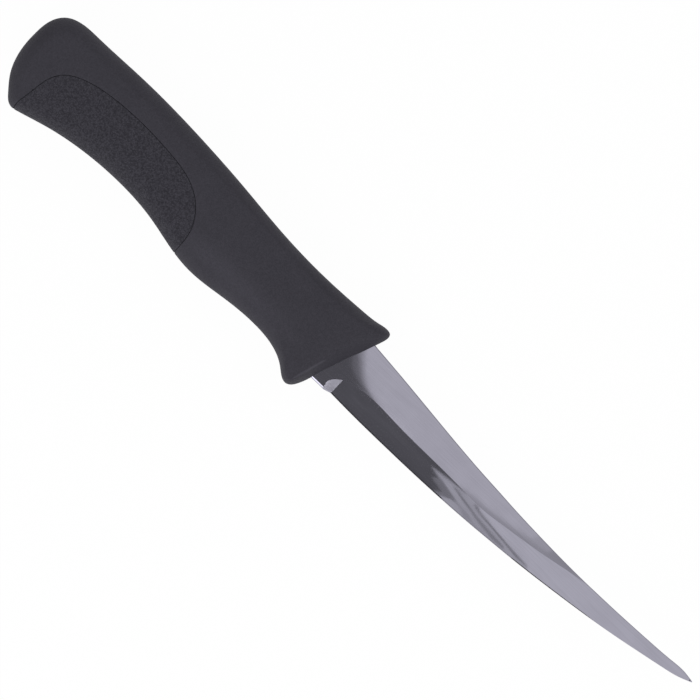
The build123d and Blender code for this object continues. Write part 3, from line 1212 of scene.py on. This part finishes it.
@dataclass
class Blade:
    """The steel: upswept blade, plunge, ricasso and hidden tang."""

    entry_x: float
    entry_y: float
    middle: float
    length: float
    height: float = 21.2 * MM
    thickness: float = 1.8 * MM
    edge_thickness: float = 0.34 * MM
    apex_thickness: float = 0.06 * MM
    sharpening_height: float = 0.45 * MM
    ricasso_depth: float = 8.0 * MM
    ricasso_ease: float = 0.59 * MM
    ricasso_ease_depth: float = 0.637 * MM
    ricasso_hold: float = 1.0 * MM
    ricasso_edge_share: float = -0.520
    ricasso_spine_share: float = 0.505
    spine_ease: float = 0.26 * MM
    plunge_run: float = 3.4 * MM
    plunge_drop: float = 4.25 * MM
    scoop_return: float = 1.2 * MM
    bevel_swell: float = 0.010 * MM
    swell_span: float = 6 * MM
    tang_length: float = 98.0 * MM
    tang_top: Pair = (7.0 * MM, 9.5 * MM)
    tang_bottom: Pair = (-5.0 * MM, 1.0 * MM)
    tang_rounding: float = 1.5 * MM
    tang_shares: Tuple[float, ...] = (1.0, 0.985, 0.5, 0.001)
    corner_softness: float = 0.04 * MM
    corner_steps: Tuple[float, ...] = (-4.0, -1.0, 0.0, 1.0, 4.0)
    corner_taper: float = 0.5
    first_bevel_share: float = 0.02
    crease_angle: float = math.radians(2.0)
    ricasso_stations: int = 5
    ricasso_gap: float = 0.3 * MM
    plunge_stations: int = 26
    body_stations: int = 190
    body_gap: float = 0.7 * MM
    tip_stations: int = 28
    tip_share: float = 0.04
    tip_crowding: float = 1.3
    flat_columns: int = 16
    bevel_columns: int = 24
    slope_step: float = 0.05 * MM
    flat_finish: GroundSteel = GroundSteel("satin_flats", 0.058, 0.00004 * MM)
    bevel_finish: GroundSteel = GroundSteel(
        "polished_bevels", 0.045, 0.00002 * MM, (0.378, 0.369, 0.440), (0.330, 0.322, 0.384)
    )
    scoop_finish: GroundSteel = GroundSteel(
        "wheel_ground_plunge", 0.30, 0.0001 * MM, (0.408, 0.397, 0.468), (0.340, 0.331, 0.390)
    )

    def __post_init__(self) -> None:
        """Works out where the plunge ends and which columns the faces lie in."""
        self.joint_x = self.entry_x + self.plunge_run
        self.first_bevel = len(BACK_EASE_SHARES) + self.flat_columns
        self.last_bevel = self.first_bevel + self.bevel_columns

    def _stations(self) -> np.ndarray:
        """Places the sections, close together at the plunge and the tip.

        Returns:
            Places along the knife, rising.
        """
        entry, joint, soft = self.entry_x, self.joint_x, self.corner_softness
        ends = (entry - self.ricasso_depth, entry - self.ricasso_gap)
        ricasso = np.linspace(*ends, self.ricasso_stations)
        turn = np.linspace(0, math.pi / 2, self.plunge_stations)[:-2]
        plunge = entry + self.plunge_run * (1 - np.cos(turn))
        corner = joint + soft * np.array(self.corner_steps)
        tip_start = entry + self.length * (1 - self.tip_share)
        body = np.linspace(joint + self.body_gap, tip_start, self.body_stations)
        left = np.linspace(1, 0, self.tip_stations)[1:] ** self.tip_crowding
        tip = entry + self.length * (1 - self.tip_share * left)
        return np.unique(np.concatenate([ricasso, [entry - soft], plunge, corner, body, tip]))

    def _section(self, xs: np.ndarray) -> Section:
        """Works out the section.

        Args:
            xs: places along the knife.

        Returns:
            Heights and half thicknesses at each place.
        """
        rows = np.array(STATION_SHARES)
        along = np.maximum((xs - self.entry_x) / self.length, rows[0, 0])
        edge, shoulder, spine, share = smooth_through(rows[:, 0], rows[:, 1:], along).T
        run = np.clip((xs - self.entry_x) / self.plunge_run, 0, 1)
        hold = self.ricasso_hold
        late = np.clip((xs - self.entry_x - hold) / (self.plunge_run - hold), 0, 1)
        half = share * self.thickness / 2
        ground = half * (1 - run) + share * self.edge_thickness / 2 * run
        apex = (half - self.ricasso_ease_depth) * (1 - late) + self.apex_thickness / 2 * late
        edge = self.entry_y + (self.ricasso_edge_share * (1 - late) + edge * late) * self.height
        spine = self.ricasso_spine_share * (1 - run) + spine * run
        shoulder = self.entry_y + shoulder * self.height
        ease = self.ricasso_ease * (1 - late) + share * self.sharpening_height * late
        return Section(
            edge=edge,
            top=edge + ease,
            shoulder=shoulder - self.plunge_drop * (1 - np.sqrt(run)),
            spine=self.entry_y + spine * self.height,
            half=half,
            ground=ground,
            apex=np.minimum(apex, ground),
            ease=np.sqrt(share) * self.spine_ease,
            late=late,
        )

    def bevel(self, xs: np.ndarray, ys: np.ndarray) -> np.ndarray:
        """Reads the ground bevel, carried on past its borders.

        Args:
            xs: places along the knife.
            ys: their heights.

        Returns:
            Half thicknesses.
        """
        cut = self._section(np.maximum(xs, self.joint_x))
        span = cut.shoulder - cut.top
        down = (cut.shoulder - ys) / span
        swell = self.bevel_swell * np.clip(span / self.swell_span, 0, 1) ** 2
        return cut.half - (cut.half - cut.ground) * down + swell * 4 * down * (1 - down)

    def scooped(self, xs: np.ndarray, ys: np.ndarray) -> np.ndarray:
        """Follows the scoop of the plunge.

        Args:
            xs: places along the knife.
            ys: their heights.

        Returns:
            How far the scoop has run out there, from 0 to 1.
        """
        cut = self._section(np.array([self.joint_x]))
        fall = (cut.shoulder - ys) / self.plunge_drop
        start = self.plunge_run * np.clip(1 - fall, 0, 1) ** 2
        start = start + self.scoop_return * np.clip(fall - 1, 0, None)
        # Known fault: this is 0 / 0 where the joint meets the shoulder, and the mesh's
        # validation then puts that corner, and its mirror image below, at z = 0.
        return np.clip((xs - self.entry_x - start) / (self.plunge_run - start), 0, 1)

    def mirrored(self, outline: Outline, face: SteelFace, eye: Place, height: float) -> List[Place]:
        """Finds what the steel shows at places on the blade.

        Args:
            outline: places in millimetres along and up from the middle of the heel.
            face: the kind of face that the places are on, a flat or a bevel.
            eye: where the steel is looked at from.
            height: how high the mirrored things hang.

        Returns:
            The points at that height that the places mirror.
        """
        places = np.array(outline, dtype=float) * MM + (self.entry_x, self.entry_y)
        step = self.slope_step
        lifts = []
        for dx, dy in ((0, 0), (step, 0), (-step, 0), (0, step), (0, -step)):
            x, y = (places + (dx, dy)).T
            lifts.append(self.bevel(x, y) if face is SteelFace.BEVEL else self._section(x).half)
        rise, east, west, north, south = lifts
        slope = [(west - east) / (2 * step), (south - north) / (2 * step), np.ones(len(places))]
        normal = np.stack(slope, axis=1)
        normal /= np.linalg.norm(normal, axis=1)[:, None]
        points = np.column_stack([places, self.middle + rise])
        ray = points - np.array(eye)
        ray -= 2 * (ray * normal).sum(axis=1)[:, None] * normal
        hit = points + ray * ((height - points[:, 2]) / ray[:, 2])[:, None]
        return [tuple(corner) for corner in hit]

    def _columns(self, xs: np.ndarray) -> List[Tuple[np.ndarray, np.ndarray]]:
        """Draws the upper half of every section from the back to the edge.

        Args:
            xs: places along the knife.

        Returns:
            Columns of height and half thickness, one value for each place.
        """
        cut = self._section(xs)
        columns = [
            (cut.spine - down * cut.ease, cut.half - inward * cut.ease)
            for down, inward in BACK_EASE_SHARES
        ]
        back = cut.spine - cut.ease
        for t in np.linspace(0, 1, self.flat_columns + 2)[1:]:
            end = cut.shoulder + self.corner_softness * (1 - self.corner_taper * t)
            columns.append((back + (end - back) * t, cut.half))
        shares = np.linspace(self.first_bevel_share, 1, self.bevel_columns)
        for t in np.concatenate([[0.0], shares]):
            y = cut.shoulder - (cut.shoulder - cut.top) * t
            ground = cut.half + (self.bevel(xs, y) - cut.half) * self.scooped(xs, y)
            ground = np.minimum(ground, cut.half)
            columns.append((y, ground))
        last = np.minimum(cut.apex, ground)
        for t, ricasso_share in EDGE_EASE_SHARES:
            share = ricasso_share * (1 - cut.late) + t * cut.late
            columns.append((cut.top - (cut.top - cut.edge) * t, ground + (last - ground) * share))
        return columns

    def _face_of(self, corners: np.ndarray, column: int) -> SteelFace:
        """Tells which kind a face is.

        Args:
            corners: the face's corners.
            column: the face's place across the section.

        Returns:
            The kind of face.
        """
        x, y, _ = corners.mean(axis=0)
        if column < self.first_bevel:
            return SteelFace.FLAT
        if x > self.joint_x or column > self.last_bevel:
            return SteelFace.BEVEL
        cut_in = self.scooped(np.array([x]), np.array([y]))[0] > 0
        return SteelFace.SCOOP if cut_in else SteelFace.FLAT

    def _tang(self, count: int) -> List[np.ndarray]:
        """Draws the upper half of the hidden tang, from its end to the ricasso.

        Args:
            count: how many corners a section of the blade has.

        Returns:
            Sections with as many corners.
        """
        rings = []
        for share in self.tang_shares:
            x = self.entry_x - self.ricasso_depth - share * (self.tang_length - self.ricasso_depth)
            low = self.tang_bottom[0] + (self.tang_bottom[1] - self.tang_bottom[0]) * share
            high = self.tang_top[0] + (self.tang_top[1] - self.tang_top[0]) * share
            if share == 1.0:
                low, high = low + self.tang_rounding, high - self.tang_rounding
            ys = self.entry_y + np.linspace(high, low, count)
            rings.append(np.column_stack([np.full(count, x), ys, np.full(count, self.thickness / 2)]))
        return rings

    def build(self) -> bpy.types.Object:
        """Builds the whole blade as one closed mesh.

        Returns:
            The blade.
        """
        xs = self._stations()
        columns = self._columns(xs)
        ys = np.array([c[0] for c in columns]).T
        zs = np.array([c[1] for c in columns]).T
        count = ys.shape[1]
        halves = self._tang(count)
        halves += [np.column_stack([np.full(count, x), y, z]) for x, y, z in zip(xs, ys, zs)]
        size = 2 * count
        faces = rings_between(len(halves), size, size)
        last = (len(halves) - 1) * size
        faces += [tuple(range(size))[::-1], tuple(range(last, last + size))]
        rings = [np.concatenate([half, half[::-1] * (1, 1, -1)]) for half in halves]
        points = np.concatenate(rings) + (0, 0, self.middle)
        finishes = (self.flat_finish, self.bevel_finish, self.scoop_finish)
        blade = make_piece("ground_blade", points, faces, *(f.material() for f in finishes))
        for polygon, face in zip(blade.data.polygons, faces):
            column = polygon.index % size
            column = min(column, size - 2 - column) if column < size - 1 else 0
            if len(face) == 4:
                polygon.material_index = self._face_of(points[list(face)], column).value
        blade.data.set_sharp_from_angle(angle=self.crease_angle)
        return blade


# Studio


@dataclass
class Studio:
    """Plain white floor, soft light, cards for the steel to mirror, and the camera."""

    middle: float
    blade: Blade
    turn: float = math.radians(44)
    view_centre: Pair = (-4.78 * MM, 2.76 * MM)
    view_width: float = 222.36 * MM
    camera_height: float = 1.5
    camera_reach: float = 50.0
    floor_size: float = 12.0
    floor_points: int = 5
    floor_drop: float = 0.05 * MM
    floor_lift: float = 0.975
    floor_level: float = 0.9
    world_level: float = 0.60
    card_height: float = 110 * MM
    card_gap: float = 0.8 * MM
    strip_along: Pair = (-350 * MM, -1.5 * MM)
    strip_across: float = -500 * MM
    strip_heights: Pair = (55 * MM, 160 * MM)
    strip_level: float = 2.9

    def __post_init__(self) -> None:
        """Places the camera's eye."""
        self.eye = (*self.view_centre, self.middle + self.camera_height)

    def backdrop(self) -> None:
        """A world that is white behind the knife and pale on it."""
        world = bpy.data.worlds.new("pale_room")
        bpy.context.scene.world = world
        shader = Shader(world)
        strength = self.world_level + shader.shown() * (1.0 - self.world_level)
        values = {"Color": (1.0, 1.0, 1.0, 1.0), "Strength": strength}
        light = shader.node("ShaderNodeBackground", values=values)
        shader.node("ShaderNodeOutputWorld", values={"Surface": light})

    def floor(self) -> None:
        """A wide white floor that keeps a faint shadow of the knife."""
        shader = Shader(bpy.data.materials.new("white_floor"))
        colour = (self.floor_level,) * 3 + (1.0,)
        matt = shader.node("ShaderNodeBsdfDiffuse", values={"Color": colour})
        values = {0: shader.shown() * self.floor_lift, 1: matt, 2: shader.glow(1.0)}
        material = shader.output(shader.node("ShaderNodeMixShader", values=values))
        steps = np.linspace(-self.floor_size / 2, self.floor_size / 2, self.floor_points)
        corners = np.array([(x, y, -self.floor_drop) for y in steps for x in steps])
        rows = rings_between(self.floor_points, self.floor_points, self.floor_points - 1)
        make_piece("floor", corners, rows, material)

    def card(self, name: str, corners: Sequence[Place], level: float) -> None:
        """Hangs an evenly lit card that only reflections see.

        Args:
            name: the card's name.
            corners: its outline.
            level: how bright it is, where 1 is white.
        """
        shader = Shader(bpy.data.materials.new(name))
        material = shader.output(shader.glow(level))
        card = make_piece(name, np.array(corners), [range(len(corners))], material)
        card.visible_camera = False
        card.visible_diffuse = False
        card.visible_shadow = False

    def lamp(self, name: str, place: Place, size: Pair, radiance: float) -> None:
        """Hangs a soft rectangular lamp that points at the knife.

        Args:
            name: the lamp's name.
            place: where it hangs.
            size: its width and height.
            radiance: how bright its face is, where 1 is white.
        """
        light = bpy.data.lights.new(name, "AREA")
        light.shape = "RECTANGLE"
        light.size, light.size_y = size
        light.energy = radiance * math.pi * size[0] * size[1]
        lamp = bpy.data.objects.new(name, light)
        lamp.location = place
        lamp.rotation_euler = (-Vector(place)).to_track_quat("-Z", "Y").to_euler()
        lamp.visible_camera = False
        lamp.visible_glossy = False
        bpy.context.scene.collection.objects.link(lamp)

    def camera(self) -> None:
        """A long lens straight above the knife, turned so that it lies across the view."""
        data = bpy.data.cameras.new("camera")
        data.lens = data.sensor_width * self.camera_height / self.view_width
        data.clip_end = self.camera_reach
        camera = bpy.data.objects.new("camera", data)
        camera.matrix_world = Matrix.Translation(self.eye) @ Matrix.Rotation(self.turn, 4, "Z")
        bpy.context.scene.collection.objects.link(camera)
        bpy.context.scene.camera = camera

    def shades(self) -> None:
        """Hangs the cards that the polished steel mirrors, darker ones below lighter ones."""
        tables = (
            ("heel", HEEL_SHADES, SteelFace.FLAT),
            ("flat", FLAT_SHADES, SteelFace.FLAT),
            ("bevel", BEVEL_SHADES, SteelFace.BEVEL),
        )
        for kind, table, face in tables:
            for number, (level, outline) in enumerate(table):
                height = self.card_height - number * self.card_gap
                corners = self.blade.mirrored(outline, face, self.eye, height)
                self.card(f"{kind}_shade_{number}", corners, level)

    def hung_cards(self) -> None:
        """Hangs the rectangular cards over the knife and stands the strip beside it."""
        z = self.card_height
        for name, (x0, x1), (y0, y1), level in HUNG_CARDS:
            self.card(name, [(x0, y0, z), (x1, y0, z), (x1, y1, z), (x0, y1, z)], level)
        (x0, x1), y, (z0, z1) = self.strip_along, self.strip_across, self.strip_heights
        corners = [(x0, y, z0), (x1, y, z0), (x1, y, z1), (x0, y, z1)]
        self.card("low_strip", corners, self.strip_level)

    def build(self) -> None:
        """Sets the whole stage."""
        bpy.context.scene.view_settings.view_transform = "Standard"
        self.backdrop()
        self.floor()
        self.camera()
        for name, place, size, radiance in LAMPS:
            self.lamp(name, place, size, radiance)
        self.shades()
        self.hung_cards()


@dataclass
class Knife:
    """The whole knife: handle, blade and hidden core."""

    nodes: Dict[str, bpy.types.Object]
    lobe_lead: float = 4.45 * MM
    blade_rise: float = 18.0 * MM
    handle_height: float = 38.095 * MM

    def __post_init__(self) -> None:
        """Takes the pieces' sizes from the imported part."""
        low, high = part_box(PackedNode.BODY.value)
        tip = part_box(PackedNode.BLADE.value)[1].x
        entry = high.x - self.lobe_lead
        half = (high.z - low.z) / 2
        self.middle = low.z + half
        form = HandleForm(low.x, low.y, high.x - low.x, self.handle_height, half, self.middle)
        self.handle = Handle(form)
        self.blade = Blade(entry, low.y + self.blade_rise, self.middle, tip - entry)

    def dress(self) -> None:
        """Builds every piece and puts it on its body in place of its node."""
        pieces = (
            (self.handle.build_shell, PackedNode.BODY, Slot.SHELL),
            (self.handle.build_inlay, PackedNode.INLAY, Slot.INLAY),
            (self.blade.build, PackedNode.BLADE, Slot.BLADE),
        )
        for build, node, slot in pieces:
            piece = build()
            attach(piece, ROOT_BODY)
            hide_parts(node.value)
            log.info("%s stands for %s, %d faces", piece.name, node.value, len(piece.data.polygons))
        core = self.nodes[PackedNode.CORE.value]
        core.data.materials.clear()
        core.data.materials.append(CorePlastic().material())
        log.info("%s keeps its packed shape", PackedNode.CORE.value)


def main() -> None:
    """Builds the knife and its studio in order."""
    logging.basicConfig(level=logging.INFO, format="%(message)s")
    knife = Knife(frame["nodes"])
    knife.dress()
    Studio(knife.middle, knife.blade).build()
    log.info("studio is set")


if __name__ == "__main__":
    main()
